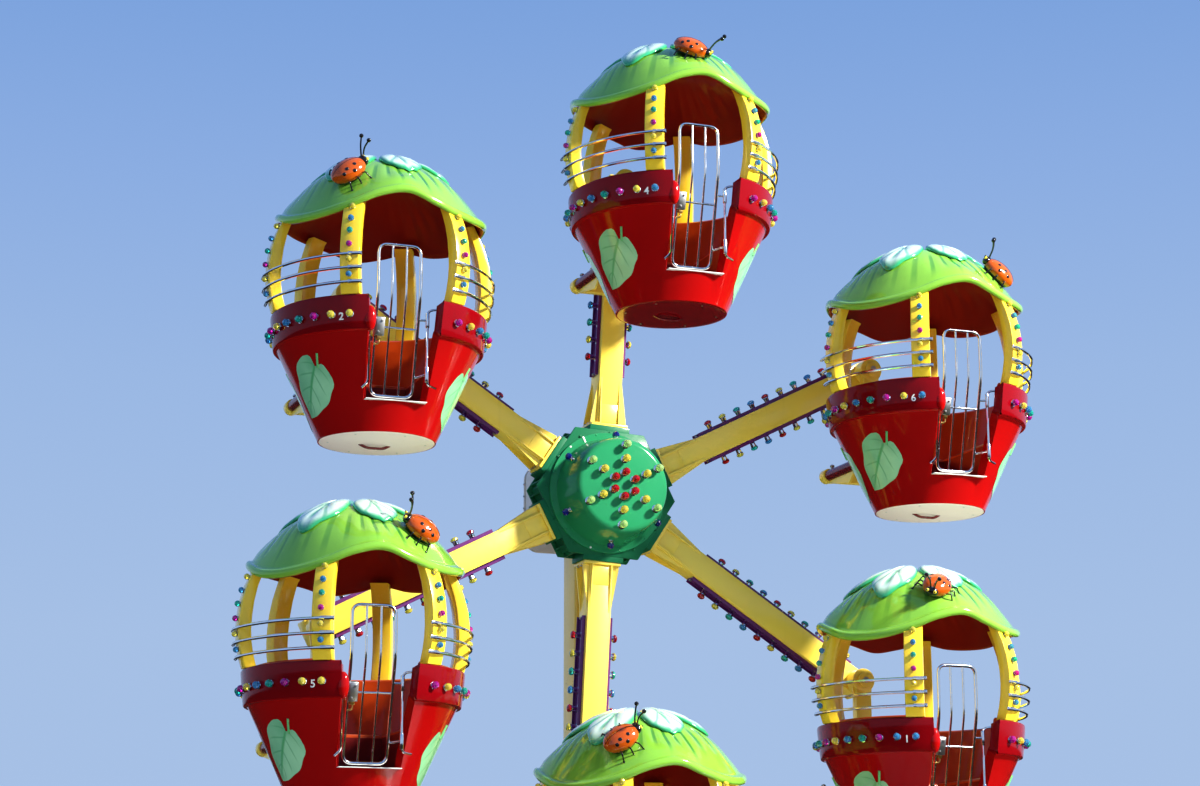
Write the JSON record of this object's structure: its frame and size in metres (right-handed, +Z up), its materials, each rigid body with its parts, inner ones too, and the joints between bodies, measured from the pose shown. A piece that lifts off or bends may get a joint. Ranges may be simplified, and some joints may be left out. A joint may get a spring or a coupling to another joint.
{
  "type": "ferris wheel",
  "caption": "Small fairground wheel: flower pot cabins with leaf roofs hang level from box arms on a green hub, held out from one mast above a loading deck.",
  "frame": {"origin": "on the ground under the hub, in the middle plane of the arms, on the underside of the mast's foot pad", "axes": "+Z up, the wheel turns about Y, its front faces -Y, +X to the right seen from the front"},
  "size_m": [5.1874, 5.19, 7.1446],
  "materials": {
    "pot_red": "gloss",
    "leaf_green": "gloss",
    "hub_green": "gloss",
    "frame_yellow": "gloss",
    "bench_orange": "satin",
    "chrome": "polished",
    "warm_grey": "satin",
    "deck_steel": "satin"
  },
  "bodies": {
    "base": {"base_beam_left": "hub_green", "base_beam_right": "hub_green", "base_cross_front": "hub_green", "base_cross_mast": "hub_green", "base_cross_rear": "hub_green", "mast_column": "frame_yellow", "mast_head": "warm_grey", "deck_trestle_left": "hub_green", "deck_trestle_right": "hub_green", "deck_plate": "deck_steel", "front_steps": "deck_steel", "guard_rail_left": "frame_yellow", "guard_rail_right": "frame_yellow"},
    "wheel": {"hub": "hub_green", "hub_cap": "hub_green", "arm_1": "frame_yellow", "arm_2": "frame_yellow", "arm_3": "frame_yellow", "arm_4": "frame_yellow", "arm_5": "frame_yellow", "arm_6": "frame_yellow"},
    "cabin_1": {"cabin_1_hanger": "frame_yellow", "cabin_1_tub": "pot_red", "cabin_1_bench": "bench_orange", "cabin_1_posts": "frame_yellow", "cabin_1_roof": "leaf_green"},
    "gate_1": {"cabin_1_gate": "chrome"},
    "cabin_2": {"cabin_2_hanger": "frame_yellow", "cabin_2_tub": "pot_red", "cabin_2_bench": "bench_orange", "cabin_2_posts": "frame_yellow", "cabin_2_roof": "leaf_green"},
    "gate_2": {"cabin_2_gate": "chrome"},
    "cabin_3": {"cabin_3_hanger": "frame_yellow", "cabin_3_tub": "pot_red", "cabin_3_bench": "bench_orange", "cabin_3_posts": "frame_yellow", "cabin_3_roof": "leaf_green"},
    "gate_3": {"cabin_3_gate": "chrome"},
    "cabin_4": {"cabin_4_hanger": "frame_yellow", "cabin_4_tub": "pot_red", "cabin_4_bench": "bench_orange", "cabin_4_posts": "frame_yellow", "cabin_4_roof": "leaf_green"},
    "gate_4": {"cabin_4_gate": "chrome"},
    "cabin_5": {"cabin_5_hanger": "frame_yellow", "cabin_5_tub": "pot_red", "cabin_5_bench": "bench_orange", "cabin_5_posts": "frame_yellow", "cabin_5_roof": "leaf_green"},
    "gate_5": {"cabin_5_gate": "chrome"},
    "cabin_6": {"cabin_6_hanger": "frame_yellow", "cabin_6_tub": "pot_red", "cabin_6_bench": "bench_orange", "cabin_6_posts": "frame_yellow", "cabin_6_roof": "leaf_green"},
    "gate_6": {"cabin_6_gate": "chrome"}
  },
  "joints": [
    {"name": "wheel_spin", "type": "hinge", "parent": "base", "child": "wheel", "pos_m": [0, 0, 4.4], "axis": [0, 1, 0], "continuous": true},
    {"name": "cabin_1_level", "type": "hinge", "parent": "wheel", "child": "cabin_1", "pos_m": [1.77798, 0, 3.24537], "axis": [0, 1, 0], "continuous": true},
    {"name": "gate_1_swing", "type": "hinge", "parent": "cabin_1", "child": "gate_1", "pos_m": [1.92798, -1.508, 2.86937], "axis": [0, 0, 1], "range_deg": [0, 95]},
    {"name": "cabin_2_level", "type": "hinge", "parent": "wheel", "child": "cabin_2", "pos_m": [-1.77798, 0, 5.55463], "axis": [0, 1, 0], "continuous": true},
    {"name": "gate_2_swing", "type": "hinge", "parent": "cabin_2", "child": "gate_2", "pos_m": [-1.62798, -1.508, 5.17863], "axis": [0, 0, 1], "range_deg": [0, 95]},
    {"name": "cabin_3_level", "type": "hinge", "parent": "wheel", "child": "cabin_3", "pos_m": [-0.11095, 0, 2.28291], "axis": [0, 1, 0], "continuous": true},
    {"name": "gate_3_swing", "type": "hinge", "parent": "cabin_3", "child": "gate_3", "pos_m": [0.03905, -1.508, 1.90691], "axis": [0, 0, 1], "range_deg": [0, 95]},
    {"name": "cabin_4_level", "type": "hinge", "parent": "wheel", "child": "cabin_4", "pos_m": [0.11095, 0, 6.51709], "axis": [0, 1, 0], "continuous": true},
    {"name": "gate_4_swing", "type": "hinge", "parent": "cabin_4", "child": "gate_4", "pos_m": [0.26095, -1.508, 6.14109], "axis": [0, 0, 1], "range_deg": [0, 95]},
    {"name": "cabin_5_level", "type": "hinge", "parent": "wheel", "child": "cabin_5", "pos_m": [-1.88893, 0, 3.43754], "axis": [0, 1, 0], "continuous": true},
    {"name": "gate_5_swing", "type": "hinge", "parent": "cabin_5", "child": "gate_5", "pos_m": [-1.73893, -1.508, 3.06154], "axis": [0, 0, 1], "range_deg": [0, 95]},
    {"name": "cabin_6_level", "type": "hinge", "parent": "wheel", "child": "cabin_6", "pos_m": [1.88893, 0, 5.36246], "axis": [0, 1, 0], "continuous": true},
    {"name": "gate_6_swing", "type": "hinge", "parent": "cabin_6", "child": "gate_6", "pos_m": [2.03893, -1.508, 4.98646], "axis": [0, 0, 1], "range_deg": [0, 95]}
  ],
  "couplings": [
    {"joint": "cabin_1_level", "follows": "wheel_spin", "ratio": -1},
    {"joint": "cabin_2_level", "follows": "wheel_spin", "ratio": -1},
    {"joint": "cabin_3_level", "follows": "wheel_spin", "ratio": -1},
    {"joint": "cabin_4_level", "follows": "wheel_spin", "ratio": -1},
    {"joint": "cabin_5_level", "follows": "wheel_spin", "ratio": -1},
    {"joint": "cabin_6_level", "follows": "wheel_spin", "ratio": -1}
  ]
}
